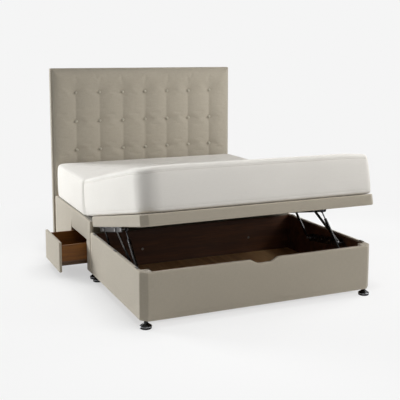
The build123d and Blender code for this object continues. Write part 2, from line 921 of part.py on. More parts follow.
open_strut = (open_pins["strut"][0] - strut_base[0], open_pins["strut"][1] - strut_base[1])
shut_strut = (shut_pins["strut"][0] - strut_base[0], shut_pins["strut"][1] - strut_base[1])
strut_length = math.hypot(*open_strut)
strut_stroke = strut_length - math.hypot(*shut_strut)
strut_swing = math.atan2(open_strut[1], open_strut[0]) - math.atan2(shut_strut[1], shut_strut[0])
cylinder_length = strut_length - rod_shown
strut_along = (0, open_strut[0] / strut_length, open_strut[1] / strut_length)
strut_plane = Plane(origin=(-strut_x, *strut_base), x_dir=(1, 0, 0), z_dir=strut_along)


def strut_bar(start, end, radius):
    """A round length of the strut, measured from its lower pivot."""
    return Pos(0, 0, (start + end) / 2) * Cylinder(radius, end - start)


def strut_cylinder():
    """Gas cylinder with its lower eye, bored for the rod and the piston."""
    neck = eye_radius + 2 * pin_radius
    body = strut_bar(neck, cylinder_length, cylinder_radius) + strut_bar(0, neck, rod_radius + play)
    body = body + Rot(0, 90, 0) * Cylinder(eye_radius, eye_thickness)
    body = body - strut_bar(neck + cap, cylinder_length - cap, cylinder_radius - cylinder_wall)
    gland = (cylinder_length - cap - overrun, cylinder_length + overrun)
    body = body - strut_bar(*gland, rod_radius + running_gap)
    return body - Rot(0, 90, 0) * Cylinder(pin_radius + running_gap, eye_thickness + 2 * overrun)


def pin_slip(angle):
    """Where the lid's pin stands from the rod's end, across and along the strut, at a lid angle."""
    pin = lifted_point(shut_pins["strut"], angle)
    missing = 1 - angle / lift_angle
    length = strut_length - strut_stroke * missing
    turn = math.atan2(open_strut[1], open_strut[0]) - strut_swing * missing
    across, up = pin[0] - strut_base[0], pin[1] - strut_base[1]
    along = across * math.cos(turn) + up * math.sin(turn) - length
    return up * math.cos(turn) - across * math.sin(turn), along


def end_bar(slip, radius, thickness):
    """A slot shaped block on the rod's end, from the open pin to its furthest slip."""
    across, along = slip
    length = math.hypot(across, along)
    bar = extrude(SlotCenterToCenter(length, 2 * radius), amount=thickness, dir=(0, 0, 1))
    bar = Pos(length / 2, 0, -thickness / 2) * bar
    # the strut's own Y runs against the across direction, and its Z runs along it
    slot_line = (0, -across / length, along / length)
    turned = Plane(origin=(0, 0, strut_length), x_dir=slot_line, z_dir=(1, 0, 0))
    return turned * bar


def strut_rod():
    """Bright rod with its piston, and the end block whose slot takes the lid's stud."""
    slip = max((pin_slip(angle) for angle in travel), key=lambda place: math.hypot(*place))
    piston_end = cylinder_length - cap - play
    body = strut_bar(piston_end - piston, strut_length, rod_radius)
    body = body + strut_bar(piston_end - piston, piston_end, cylinder_radius - cylinder_wall - running_gap)
    body = body + end_bar(slip, eye_radius, eye_thickness)
    return body - end_bar(slip, pin_radius + slot_play, eye_thickness + 2 * overrun)


cylinder = strut_plane * strut_cylinder()
rod_solid = strut_plane * strut_rod()
save("strut_cylinder_left", cylinder)
save("strut_cylinder_right", mirrored(cylinder))
save("strut_rod_left", rod_solid)
save("strut_rod_right", mirrored(rod_solid))

# Mattress, two solids that meet at the lid's turning line
mattress_x = side_x - mattress_inset
mattress_low = deck_top + rest_gap
border_height = mattress_thickness - mattress_crown
mattress_foot_end = foot_end + mattress_inset
mattress_head_end = head_end - mattress_inset


def mattress_outline(inset):
    """Plan of the whole mattress with its round corners."""
    x = mattress_x - inset
    low, high = mattress_foot_end + inset, mattress_head_end - inset
    return Pos(0, (low + high) / 2, 0) * RectangleRounded(2 * x, high - low, mattress_corner - inset)


def mattress_section():
    """Section across the bed: flat below, sides drawn in at both seams, crowned top."""
    x = mattress_x
    top = mattress_low + border_height
    middle = mattress_low + border_height / 2
    seam = x - mattress_bulge
    outline = [
        Line((-seam, mattress_low), (seam, mattress_low)),
        ThreePointArc((seam, mattress_low), (x, middle), (seam, top)),
        ThreePointArc((seam, top), (0, top + mattress_crown), (-seam, top)),
        ThreePointArc((-seam, top), (-x, middle), (-seam, mattress_low)),
    ]
    face = Plane.XZ * make_face(outline)
    length = mattress_head_end - mattress_foot_end
    return Pos(0, mattress_foot_end - overrun, 0) * extrude(face, amount=length + 2 * overrun, dir=(0, 1, 0))


def mattress_side(outline):
    """A side view of the mattress carried across the bed's width."""
    face = Plane.YZ * make_face(outline)
    return Pos(-mattress_x - overrun, 0, 0) * extrude(face, amount=2 * (mattress_x + overrun), dir=(1, 0, 0))


def mattress_foot_side():
    """Side view of the foot part, its rear face leaning forward above the turning line."""
    top = mattress_low + mattress_thickness
    lean = math.tan(math.radians(lift_angle))
    rear = pole_y - rest_gap
    end = mattress_foot_end
    middle = (mattress_low + top) / 2
    return [
        Line((end + mattress_bulge, mattress_low), (rear, mattress_low)),
        Line((rear, mattress_low), (rear, pole_z)),
        Line((rear, pole_z), (rear - (top - pole_z) * lean, top)),
        Line((rear - (top - pole_z) * lean, top), (end + mattress_bulge, top)),
        ThreePointArc((end + mattress_bulge, top), (end, middle), (end + mattress_bulge, mattress_low)),
    ]


def mattress_head_side():
    """Side view of the head part."""
    top = mattress_low + mattress_thickness
    middle = (mattress_low + top) / 2
    end = mattress_head_end
    return [
        Line((pole_y, mattress_low), (end - mattress_bulge, mattress_low)),
        ThreePointArc((end - mattress_bulge, mattress_low), (end, middle), (end - mattress_bulge, top)),
        Line((end - mattress_bulge, top), (pole_y, top)),
        Line((pole_y, top), (pole_y, mattress_low)),
    ]


def mattress_part(side, void_start, void_end):
    """One part of the mattress, hollow inside where the springs are."""
    plan = Pos(0, 0, mattress_low) * extrude(mattress_outline(0), amount=mattress_thickness, dir=(0, 0, 1))
    body = mattress_section() & plan & mattress_side(side)
    inner = Pos(0, 0, mattress_low + mattress_shell) * extrude(
        mattress_outline(mattress_shell), amount=border_height - 2 * mattress_shell, dir=(0, 0, 1)
    )
    high = mattress_low + mattress_thickness
    slab = block(-mattress_x, mattress_x, void_start, void_end, mattress_low, high)
    return body - (inner & slab)


foot_void_end = pole_y - (mattress_low + mattress_thickness - pole_z) * math.tan(math.radians(lift_angle))
save(
    "mattress_foot",
    opened(mattress_part(mattress_foot_side(), foot_end, foot_void_end - mattress_shell)),
)
save("mattress_head", mattress_part(mattress_head_side(), pole_y + mattress_shell, head_end))
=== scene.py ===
import json
import math

import bmesh
import bpy
import numpy as np
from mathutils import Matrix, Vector


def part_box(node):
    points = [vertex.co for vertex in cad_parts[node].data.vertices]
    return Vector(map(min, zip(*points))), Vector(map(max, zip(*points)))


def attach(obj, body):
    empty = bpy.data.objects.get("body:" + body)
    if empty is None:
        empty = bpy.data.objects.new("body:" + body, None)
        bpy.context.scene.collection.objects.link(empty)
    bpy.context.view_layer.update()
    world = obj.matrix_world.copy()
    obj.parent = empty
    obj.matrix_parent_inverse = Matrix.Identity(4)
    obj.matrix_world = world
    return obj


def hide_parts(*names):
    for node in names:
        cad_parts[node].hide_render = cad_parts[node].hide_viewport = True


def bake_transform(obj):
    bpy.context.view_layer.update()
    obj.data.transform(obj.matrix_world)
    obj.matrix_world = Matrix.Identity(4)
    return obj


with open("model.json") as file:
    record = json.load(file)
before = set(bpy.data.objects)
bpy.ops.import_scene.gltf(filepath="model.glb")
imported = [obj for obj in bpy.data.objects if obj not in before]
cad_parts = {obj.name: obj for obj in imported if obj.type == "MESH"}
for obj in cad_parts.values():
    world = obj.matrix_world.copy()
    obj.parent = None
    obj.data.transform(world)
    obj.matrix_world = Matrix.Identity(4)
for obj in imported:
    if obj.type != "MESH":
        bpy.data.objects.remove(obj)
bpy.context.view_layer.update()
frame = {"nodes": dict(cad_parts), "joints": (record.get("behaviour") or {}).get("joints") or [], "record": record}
scene = bpy.context.scene

X, Y, Z = 0, 1, 2
LOW, HIGH = 0, 1
TINY = 1e-9


def end_of(node, axis, end):
    """One end of a node's box along an axis, to a tenth of a millimetre."""
    return round(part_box(node)[end][axis], 4)


# Sizes read from the frame

# Half width of the base, thickness of its panels and size of its corner posts
SIDE = end_of("foot_corner_posts", X, HIGH)
PANEL = round(SIDE - end_of("foot_side_panel_right", X, LOW), 4)
POST = round(SIDE - end_of("foot_front_panel", X, HIGH), 4)
# Along the bed: foot end, rear of the storage half, front and end of the head half, joint of the halves
FOOT = end_of("foot_front_panel", Y, LOW)
FOOT_REAR = end_of("foot_side_panel_left", Y, HIGH)
HEAD_FRONT = end_of("head_side_panel_left", Y, LOW)
HEAD_END = end_of("head_side_panel_left", Y, HIGH)
JOINT = round((FOOT_REAR + HEAD_FRONT) / 2, 4)
# Heights: underside and top edges of the storage half, and the deck that the mattress lies on
BASE_LOW = end_of("foot_front_panel", Z, LOW)
BASE_TOP = end_of("foot_side_panel_left", Z, HIGH)
FRONT_TOP = end_of("foot_front_panel", Z, HIGH)
DECK = end_of("head_deck_board", Z, HIGH)

# Turning line of the lid and the angle of the photographed pose
lift = next(joint for joint in frame["joints"] if joint["name"] == "lid_lift")
POLE_Y, POLE_Z = lift["pos_m"][1:]
LIFT = math.radians(-lift["range_deg"][0])


def opened(points):
    """Points of the shut lid, turned to the photographed pose."""
    points = np.array(points, float)
    along, up = points[:, Y] - POLE_Y, points[:, Z] - POLE_Z
    c, s = math.cos(LIFT), math.sin(LIFT)
    points[:, Y], points[:, Z] = POLE_Y + along * c + up * s, POLE_Z - along * s + up * c
    return points


def mesh_piece(name, points, faces, smooth=True):
    """New mesh object from points and faces."""
    mesh = bpy.data.meshes.new(name)
    mesh.from_pydata([tuple(p) for p in points], [], faces)
    mesh.validate()
    mesh.update()
    mesh.polygons.foreach_set("use_smooth", [smooth] * len(mesh.polygons))
    piece = bpy.data.objects.new(name, mesh)
    scene.collection.objects.link(piece)
    return piece


def dress(piece, body, slot, material, *replaced):
    """Material, ride and the CAD nodes that the piece stands for. The slot is not used."""
    piece.data.materials.clear()
    piece.data.materials.append(material)
    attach(piece, body)
    if replaced:
        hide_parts(*replaced)


# Materials

def linear(rgb):
    """A colour of 0 to 255 as the linear colour that Blender takes."""
    out = []
    for value in rgb:
        v = value / 255
        out.append(v / 12.92 if v <= 0.04045 else ((v + 0.055) / 1.055) ** 2.4)
    return (*out, 1.0)


def scaled(colour, factor, added=0.0):
    """A linear colour made paler or darker."""
    return tuple(min(1, c * factor + added) for c in colour[:3]) + (1,)


class Nodes:
    """Small helper that adds nodes to one material and links them."""

    def __init__(self, name):
        self.material = bpy.data.materials.new(name)
        self.material.use_nodes = True
        self.tree = self.material.node_tree
        self.shader = self.tree.nodes["Principled BSDF"]

    def put(self, socket, value):
        """Links the socket to another one, or sets its value."""
        if isinstance(value, bpy.types.NodeSocket):
            self.tree.links.new(value, socket)
        else:
            socket.default_value = value

    def add(self, kind, inputs=(), **settings):
        node = self.tree.nodes.new(kind)
        for key, value in settings.items():
            setattr(node, key, value)
        for key, value in dict(inputs).items():
            self.put(node.inputs[key], value)
        return node

    def coords(self):
        """The piece's own coordinates."""
        return self.add("ShaderNodeTexCoord").outputs["Object"]

    def stretched(self, scale=(1, 1, 1)):
        return self.add("ShaderNodeMapping", {"Vector": self.coords(), "Scale": scale}).outputs[0]

    def noise(self, scale, detail=3.0, stretch=(1, 1, 1), rough=0.5):
        inputs = {"Vector": self.stretched(stretch), "Scale": scale, "Detail": detail, "Roughness": rough}
        return self.add("ShaderNodeTexNoise", inputs).outputs[0]

    def math(self, operation, a, b=0.0):
        return self.add("ShaderNodeMath", {0: a, 1: b}, operation=operation).outputs[0]

    def between(self, value, low, high, start=0.0, end=1.0, kind="LINEAR"):
        """Low where the value is at the start, high where it is at the end."""
        inputs = {0: value, 1: start, 2: end, 3: low, 4: high}
        return self.add("ShaderNodeMapRange", inputs, interpolation_type=kind).outputs[0]

    def ramp(self, value, *stops):
        node = self.add("ShaderNodeValToRGB", {"Fac": value})
        elements = node.color_ramp.elements
        while len(elements) < len(stops):
            elements.new(0.5)
        for element, (at, colour) in zip(elements, stops):
            element.position = at
            element.color = colour
        return node.outputs[0]

    def mix(self, factor, a, b):
        """Blend of two colours. Sockets 6, 7 and 2 are the node's colour ones."""
        return self.add("ShaderNodeMix", {0: factor, 6: a, 7: b}, data_type="RGBA").outputs[2]

    def shaders(self, factor, a, b):
        return self.add("ShaderNodeMixShader", {0: factor, 1: a, 2: b}).outputs[0]

    def bump(self, height, strength, distance, after=None):
        inputs = {"Height": height, "Strength": strength, "Distance": distance}
        if after is not None:
            inputs["Normal"] = after
        return self.add("ShaderNodeBump", inputs).outputs[0]

    def finish(self, **sockets):
        for key, value in sockets.items():
            self.put(self.shader.inputs[key.replace("_", " ")], value)
        return self.material


def cloth(name, colour, spread=0.10, pitch=0.0021, slub=1.0, sheen=0.25, bump=0.35, wear_and_edge_highlight=0.0):
    """Plain weave: thread grid, slubs along both thread directions, soft mottling, and a painted highlight on
    sharp edges.
    """
    m = Nodes(name)
    split = m.add("ShaderNodeSeparateXYZ", {0: m.stretched()})
    grid = None
    for axis in (X, Y, Z):
        wave = m.math("SINE", m.math("MULTIPLY", split.outputs[axis], 2 * math.pi / pitch))
        grid = wave if grid is None else m.math("ADD", grid, wave)
    level_slubs = m.noise(1.0, 2.0, (34, 34, 620))
    upright_slubs = m.noise(1.0, 2.0, (620, 620, 30))
    fleck = m.math("ADD", m.math("MULTIPLY", level_slubs, 0.55), m.math("MULTIPLY", upright_slubs, 0.45))
    soft = m.noise(2.3, 2.0)
    weave_share = 0.75 * slub
    tone = m.math("ADD", m.math("MULTIPLY", fleck, weave_share), m.math("MULTIPLY", soft, 1 - weave_share))
    base = linear(colour)
    shade = m.ramp(tone, (0.36, scaled(base, 1 - spread)), (0.64, scaled(base, 1 + spread)))
    # Painted highlight: sharp convex edges, such as the rounded top edges, are made paler as if they caught light
    # from above
    if wear_and_edge_highlight:
        sharpness = m.add("ShaderNodeNewGeometry").outputs["Pointiness"]
        painted_edge_highlight = m.between(sharpness, 0.0, wear_and_edge_highlight, 0.515, 0.60)
        shade = m.mix(painted_edge_highlight, shade, scaled(base, 1.7))
    normal = m.bump(grid, bump * 0.5, pitch * 0.3)
    normal = m.bump(fleck, bump, 0.0012, normal)
    return m.finish(Base_Color=shade, Roughness=m.between(fleck, 0.82, 0.96), Normal=normal,
                    Sheen_Weight=sheen, Sheen_Roughness=0.5, Specular_IOR_Level=0.2)


def timber(name, light, dark, along, rough):
    """Straight grained wood with fine pores. The grain runs along one axis."""
    m = Nodes(name)
    rate_across, rate_along, pores_finer = 22.0, 1.2, 9
    stretch = [rate_across] * 3
    stretch[along] = rate_along
    grain = m.noise(1.0, 5.0, stretch, 0.62)
    fine = m.noise(1.0, 3.0, [rate * pores_finer for rate in stretch], 0.6)
    tone = m.math("ADD", m.math("MULTIPLY", grain, 0.7), m.math("MULTIPLY", fine, 0.3))
    middle = [(a + b) / 2 for a, b in zip(light, dark)]
    shade = m.ramp(tone, (0.33, linear(dark)), (0.52, linear(middle)), (0.68, linear(light)))
    level = m.between(fine, rough - 0.08, rough + 0.1)
    return m.finish(Base_Color=shade, Roughness=level, Normal=m.bump(fine, 0.25, 0.0006))


def metal(name, colour, rough, wear_and_edge_highlight=0.06, metallic=1.0, brushed=(1, 1, 1)):
    """Metal or enamel with fine scratches and uneven gloss."""
    m = Nodes(name)
    haze = m.noise(55.0, 4.0, brushed)
    base = linear(colour)
    shade = m.ramp(haze, (0.35, scaled(base, 0.85)), (0.65, base))
    level = m.between(haze, rough - wear_and_edge_highlight, rough + wear_and_edge_highlight)
    return m.finish(Base_Color=shade, Roughness=level, Metallic=metallic, Normal=m.bump(haze, 0.08, 0.0004))


def moulded(name, colour, rough, gloss=0.5):
    """Moulded plastic or nylon with a light grain."""
    m = Nodes(name)
    grain = m.noise(900.0, 2.0)
    cloud = m.noise(12.0, 2.0)
    base = linear(colour)
    shade = m.ramp(cloud, (0.35, base), (0.7, scaled(base, 1.25, 0.004)))
    level = m.between(cloud, rough - 0.05, rough + 0.07)
    return m.finish(Base_Color=shade, Roughness=level, Normal=m.bump(grain, 0.12, 0.0003),
                    Specular_IOR_Level=gloss)


# The base's cloth carries the painted edge highlight
base_cloth = cloth("base_weave", (176, 167, 151), spread=0.075, wear_and_edge_highlight=0.6)
head_cloth = cloth("headboard_weave", (171, 163, 148), spread=0.075)
# The buttons' cloth is a little paler than the headboard's: a painted highlight on the domes
button_cloth_painted_highlight = cloth("button_weave", (175, 168, 153), pitch=0.0014, sheen=0.3)
ticking = cloth("mattress_knit", (233, 229, 222), spread=0.035, pitch=0.0016, slub=0.6, sheen=0.15, bump=0.25)
# Darker copy of the taupe cloth: painted shade on the inner boards seen in the gaps, and the darker lining on the
# headboard's back
painted_shade_and_lining_cloth = cloth("platform_weave", (118, 112, 98), pitch=0.0025)
glide = moulded("glide_black", (7, 7, 8), 0.18, gloss=0.25)
chrome = metal("glide_chrome", (166, 168, 172), 0.12, wear_and_edge_highlight=0.03)
finish_of = {
    "base_fabric": base_cloth,
    "headboard_fabric": head_cloth,
    "mattress_fabric": ticking,
    "felt": cloth("felt_grey", (92, 88, 82), spread=0.2, pitch=0.003),
    "frame_wood": timber("frame_pine", (206, 172, 124), (160, 120, 76), Y, 0.5),
    "lining_wood": timber("lining_walnut", (118, 78, 52), (60, 37, 25), X, 0.45),
    "drawer_wood": timber("drawer_walnut", (140, 84, 4), (84, 47, 2), X, 0.55),
    "black_steel": metal("black_steel", (11, 11, 12), 0.27, wear_and_edge_highlight=0.05, metallic=0.0),
    "rail_steel": metal("rail_steel", (84, 84, 87), 0.3, brushed=(1, 12, 12)),
    "runner_steel": metal("runner_enamel", (86, 60, 34), 0.45, metallic=0.0),
    "zinc": metal("zinc_plate", (176, 178, 180), 0.3),
    "bright_rod": metal("bright_rod", (78, 80, 84), 0.28, wear_and_edge_highlight=0.03),
    "roller_nylon": moulded("roller_nylon", (214, 212, 204), 0.45),
    "glide_black": glide,
    "glide_chrome": chrome,
}
# Inner boards that show in the gaps get a darker copy of the taupe cloth: painted shade for the gaps they sit in
COVERED = {"head_front_panel", "head_deck_board", "foot_rear_panel", "lid_deck_board"}
for entry in frame["record"]["subparts"]:
    finish = painted_shade_and_lining_cloth if entry["node"] in COVERED else finish_of[entry["material_slot"]]
    materials = frame["nodes"][entry["node"]].data.materials
    materials.clear()
    materials.append(finish)


# Shapes that several pieces share

def arc(centre, radius, start, end, count):
    """Points of an arc in plan, angles in degrees."""
    angles = np.radians(np.linspace(start, end, count))
    return [(centre[0] + radius * math.cos(t), centre[1] + radius * math.sin(t)) for t in angles]


def filled(pairs, step):
    """Pairs of outer and inner plan points, divided until none is further apart than the step."""
    out = [pairs[0]]
    for a, b in zip(pairs, pairs[1:]):
        a, b = np.array(a, float), np.array(b, float)
        parts = max(1, int(math.ceil(np.linalg.norm(b[0] - a[0]) / step)))
        out += [tuple(map(tuple, a + (b - a) * k / parts)) for k in range(1, parts + 1)]
    return out


# Waves of the wadding: their rates along and up, share of the seed, and height
WADDING = ((5.1, 2.3, 1.0, 0.45), (11.7, -9.1, 2.1, 0.30), (23.0, 17.0, 3.7, 0.25))


def ripple(s, z, seed):
    """Small smooth unevenness of the wadding under the cloth, from -1 to 1."""
    return sum(math.sin(along * s + up * z + shift * seed) * height for along, up, shift, height in WADDING)


def outward(path, closed):
    """Unit vectors that point out of a path that runs with the piece's inside on its left."""
    ahead = np.roll(path, -1, 0) - np.roll(path, 1, 0)
    if not closed:
        ahead[0], ahead[-1] = path[1] - path[0], path[-1] - path[-2]
    ahead /= np.linalg.norm(ahead, axis=1)[:, None]
    return np.stack([ahead[:, 1], -ahead[:, 0]], 1)


# Longest step between two stations of an upholstered path
STATION = 0.03
# Where the cloth turns under, as a share of the edge's radius
TURN_UNDER = 0.3


def band(pairs, low, top, closed, edge=0.005, inner_edge=0.002, swell=0.0006, seed=0.0):
    """Upholstered band along pairs of plan points: rounded top and bottom edges, wadding on its face.
    low is one height or a list of them, and top gives the height at a place of the outer path."""
    outer, inner = np.array([p[0] for p in pairs]), np.array([p[1] for p in pairs])
    count = len(pairs)
    out = outward(outer, closed)
    run = np.concatenate([[0], np.cumsum(np.linalg.norm(np.diff(outer, axis=0), axis=1))])
    across = inner - outer
    across /= np.linalg.norm(across, axis=1)[:, None]
    points = []
    for k, base in enumerate(np.broadcast_to(low, count)):
        high = top(outer[k])
        for share in np.linspace(0, 1, 9):
            z = base + edge + (high - base - 2 * edge) * share
            puff = swell * (1 + ripple(run[k], z, seed)) * math.sin(math.pi * share) ** 0.5
            points.append((*(outer[k] + out[k] * puff), z))
        for t in np.radians([30, 60, 90]):
            place = outer[k] - out[k] * edge * (1 - math.cos(t))
            points.append((*place, high - edge + edge * math.sin(t)))
        points.append((*((outer[k] + inner[k]) / 2), high))
        for t in np.radians([90, 45, 0]):
            place = inner[k] - across[k] * inner_edge * (1 - math.cos(t))
            points.append((*place, high - inner_edge + inner_edge * math.sin(t)))
        points.append((*inner[k], base))
        points.append((*(outer[k] - out[k] * edge), base))
        points.append((*(outer[k] - out[k] * edge * TURN_UNDER), base + edge * TURN_UNDER))
    size = len(points) // count
    faces = []
    for k in range(count if closed else count - 1):
        a, b = k * size, ((k + 1) % count) * size
        faces += [(a + i, b + i, b + (i + 1) % size, a + (i + 1) % size) for i in range(size)]
    if not closed:
        faces.append(tuple(range(size)))
        faces.append(tuple((count - 1) * size + i for i in reversed(range(size))))
    return points, faces


def rounded_box(name, low, high, radius, step, swell, seed):
    """Soft edged board: every point lies the radius away from the core, and the faces swell a little."""
    low, high = np.array(low, float), np.array(high, float)
    core_low, core_high = low + radius, high - radius
    points, faces, index = [], [], {}

    def bulge(p):
        """How full the cover is: most in the middle of a face and on its seams, least just beside a seam."""
        shares = (p - low) / (high - low)
        return np.prod([math.sin(math.pi * share) ** 0.4 if 0 < share < 1 else 1 for share in shares])

    def place(p):
        key = tuple(np.round(p, 6))
        if key not in index:
            core = np.clip(p, core_low, core_high)
            out = p - core
            out /= np.linalg.norm(out)
            q = core + out * radius
            q = q + out * swell * bulge(p) * (1 + ripple(q[0] + q[1], q[2], seed))
            index[key] = len(points)
            points.append(q)
        return index[key]

    def cuts(axis):
        size = core_high[axis] - core_low[axis]
        middle = np.linspace(core_low[axis], core_high[axis], max(1, int(round(size / step))) + 1)
        edge = radius * (1 - np.cos(np.radians([0, 30, 60])))
        return np.concatenate([low[axis] + edge, middle, (high[axis] - edge)[::-1]])

    for axis in (X, Y, Z):
        u, v = [a for a in (X, Y, Z) if a != axis]
        us, vs = cuts(u), cuts(v)
        for end, level in ((LOW, low[axis]), (HIGH, high[axis])):
            backwards = end == (HIGH if axis == Y else LOW)
            for i in range(len(us) - 1):
                for j in range(len(vs) - 1):
                    quad = []
                    for a, b in ((i, j), (i + 1, j), (i + 1, j + 1), (i, j + 1)):
                        p = np.zeros(3)
                        p[axis], p[u], p[v] = level, us[a], vs[b]
                        quad.append(place(p))
                    faces.append(quad[::-1] if backwards else quad)
    return mesh_piece(name, points, faces)


def turned(name, profile, places, forward=False, count=28):
    """One mesh of equal turned pieces. The profile of radius and height runs up, or towards the foot end."""
    points, faces = [], []
    angles = np.linspace(0, 2 * math.pi, count + 1)[:-1]
    for px, py, pz in places:
        start = len(points)
        for radius, height in profile:
            for t in angles:
                a, b = radius * math.cos(t), radius * math.sin(t)
                points.append((px + a, py - height, pz + b) if forward else (px + a, py + b, pz + height))
        for ring in range(len(profile) - 1):
            for k in range(count):
                a, b = start + ring * count, start + (ring + 1) * count
                faces.append((a + k, a + (k + 1) % count, b + (k + 1) % count, b + k))
        end = start + (len(profile) - 1) * count
        faces += [tuple(start + k for k in reversed(range(count))), tuple(end + k for k in range(count))]
    return mesh_piece(name, points, faces)


def welt(centre, normal, radius=0.0020, sides=8):
    """Closed cord along a loop of points that lies across the normal."""
    ahead = np.roll(centre, -1, 0) - np.roll(centre, 1, 0)
    ahead /= np.linalg.norm(ahead, axis=1)[:, None]
    out = np.cross(ahead, normal)
    tube = []
    for t in np.linspace(0, 2 * math.pi, sides + 1)[:-1]:
        tube.append(centre + out * radius * math.cos(t) + np.array(normal) * radius * math.sin(t))
    faces, n = [], len(centre)
    for r in range(sides):
        for k in range(n):
            a, b = r * n, ((r + 1) % sides) * n
            faces.append((a + k, a + (k + 1) % n, b + (k + 1) % n, b + k))
    return np.concatenate(tube), faces


# Storage half and lid

# Corner's chamfer, the roundness of its two ends, and how far past the post the front's first station lies
CHAMFER, SOFT, PAST_POST = 0.038, 0.012, 0.002
# Finger dip in the front: half its width, its depth, and the share of the half width that its slope takes
NOTCH_HALF, NOTCH_DEEP, NOTCH_SLOPE_SHARE = 0.100, 0.025, 2 / 3
# Stretch of the front with closer stations
DIP_HALF, DIP_COUNT = NOTCH_HALF + 0.005, 31
# Depths behind the front: where the finger dip ends, and where the rim starts and stops sinking
DIP_DEPTH, SINK_START, SINK_END = 0.03, 0.05, 0.01
# Gaps under the lid and behind it
LID_GAP, LID_REAR_GAP = 0.0025, 0.008
LID_LOW, LID_REAR = BASE_TOP + LID_GAP, JOINT - LID_REAR_GAP
# Lid's frame: width of its rails, roundness of its rear corners, and where its sides' first stations lie
RAIL, LID_CORNER, LID_TAIL = 0.060, 0.006, 0.02


def corner_points():
    """Outer points of the left foot corner, a chamfer with softly rounded ends, from side to front."""
    reach = SOFT * math.tan(math.radians(22.5))
    side_c = (-SIDE + SOFT, FOOT + CHAMFER + reach)
    front_c = (-SIDE + CHAMFER + reach, FOOT + SOFT)
    return arc(side_c, SOFT, 180, 225, 5) + arc(front_c, SOFT, 225, 270, 5)


def wrap_path(rear, wall, post):
    """Pairs round the foot end from the left side's rear to the right side's rear."""
    left = [((-SIDE, rear), (-SIDE + wall, rear)), ((-SIDE, FOOT + post), (-SIDE + wall, FOOT + post))]
    left += [(place, (-SIDE + post, FOOT + post)) for place in corner_points()]
    left.append(((-SIDE + post + PAST_POST, FOOT), (-SIDE + post, FOOT + wall)))
    right = [((-a[0], a[1]), (-b[0], b[1])) for a, b in reversed(left)]
    middle = [((x, FOOT), (x, FOOT + wall)) for x in np.linspace(-DIP_HALF, DIP_HALF, DIP_COUNT)]
    return filled(left + middle + right, STATION)


def rim(place):
    """Height of the storage half's top edge, lower in the front's finger dip."""
    x, y = place
    front = min(1.0, max(0.0, (FOOT + SINK_START - y) / (SINK_START - SINK_END)))
    dip = 0.0
    if abs(x) < NOTCH_HALF and y < FOOT + DIP_DEPTH:
        share = min(1.0, (NOTCH_HALF - abs(x)) / (NOTCH_HALF * NOTCH_SLOPE_SHARE))
        dip = NOTCH_DEEP * share * share * (3 - 2 * share)
    return BASE_TOP - (BASE_TOP - FRONT_TOP) * front - dip


def lid_path():
    """Pairs round the whole lid frame, with small corners at its rear."""
    turn_y, inner_y = LID_REAR - LID_CORNER, LID_REAR - RAIL
    tail = [((SIDE, turn_y), (SIDE - RAIL, inner_y))]
    for sign, start in ((1, 0), (-1, 90)):
        corner = arc((sign * (SIDE - LID_CORNER), turn_y), LID_CORNER, start, start + 90, 4)
        tail += [(p, (sign * (SIDE - RAIL), inner_y)) for p in corner]
    return wrap_path(LID_REAR - LID_TAIL, RAIL, RAIL) + filled(tail, STATION)


points, faces = band(wrap_path(FOOT_REAR, PANEL, POST), BASE_LOW, rim, False, edge=0.007, seed=0.4)
foot_cover = mesh_piece("foot_upholstery", points, faces)
dress(foot_cover, "base", "base_fabric", base_cloth,
      "foot_side_panel_left", "foot_side_panel_right", "foot_front_panel", "foot_corner_posts")

points, faces = band(lid_path(), LID_LOW, lambda place: DECK, True, edge=0.006, seed=1.7)
lid_cover = mesh_piece("lid_upholstery", opened(points), faces)
dress(lid_cover, "lid", "base_fabric", base_cloth, "lid_front_rail", "lid_side_rails", "lid_rear_rail")


# Feet

# Radius of a glide, and how far the middle glides stand from the joint of the two halves
GLIDE_RADIUS, GLIDE_INSET = 0.033, 0.035
# Profiles as radius and height
BELL = [
    (0.0310, 0.0), (0.0326, 0.0012), (GLIDE_RADIUS, 0.0035), (GLIDE_RADIUS, 0.0115),
    (0.0322, 0.0165), (0.0313, 0.0176), (0.0280, 0.0198), (0.0225, 0.0232),
    (0.0165, 0.0275), (0.0125, 0.0320), (0.0104, 0.0370), (0.0098, 0.0445),
]
RIM = [
    (0.0322, 0.0120), (0.0340, 0.0123), (0.0345, 0.0130), (0.0345, 0.0136),
    (0.0338, 0.0143), (0.0322, 0.0146), (0.0060, 0.0200), (0.0060, 0.0600),
]
low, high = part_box("glide_pads")
rows = (low[Y] + GLIDE_RADIUS, JOINT - GLIDE_INSET, JOINT + GLIDE_INSET, high[Y] - GLIDE_RADIUS)
foot_places = [(sign * (high[X] - GLIDE_RADIUS), y, 0.0) for sign in (-1, 1) for y in rows]
dress(turned("glide_bells", BELL, foot_places), "base", "glide_black", glide, "glide_pads")
dress(turned("glide_rims", RIM, foot_places), "base", "glide_chrome", chrome, "glide_stems")


# Head half

OPEN_FOOT, OPEN_HEAD = end_of("drawer_bay_spine", Y, LOW), end_of("drawer_bay_spine", Y, HIGH)
DRAWER_GAP = end_of("drawer_front_left", Y, LOW) - OPEN_FOOT
OPEN_TOP = end_of("drawer_front_left", Z, HIGH) + DRAWER_GAP
# Length over which the bottom edge steps up at each end of the drawer opening
OPEN_EDGE = 0.0005


def head_path():
    """Places along a side of the head half, with the bottom's height at each: higher over the drawer."""
    ys = [HEAD_FRONT, OPEN_FOOT - OPEN_EDGE, OPEN_FOOT, OPEN_HEAD, OPEN_HEAD + OPEN_EDGE, HEAD_END]
    lows = [BASE_LOW, BASE_LOW, OPEN_TOP, OPEN_TOP, BASE_LOW, BASE_LOW]
    path = [(ys[0], lows[0])]
    for a, b in zip(zip(ys, lows), zip(ys[1:], lows[1:])):
        parts = max(1, int((b[0] - a[0]) / STATION))
        path += [tuple(p) for p in np.linspace(a, b, parts + 1)[1:]]
    return path


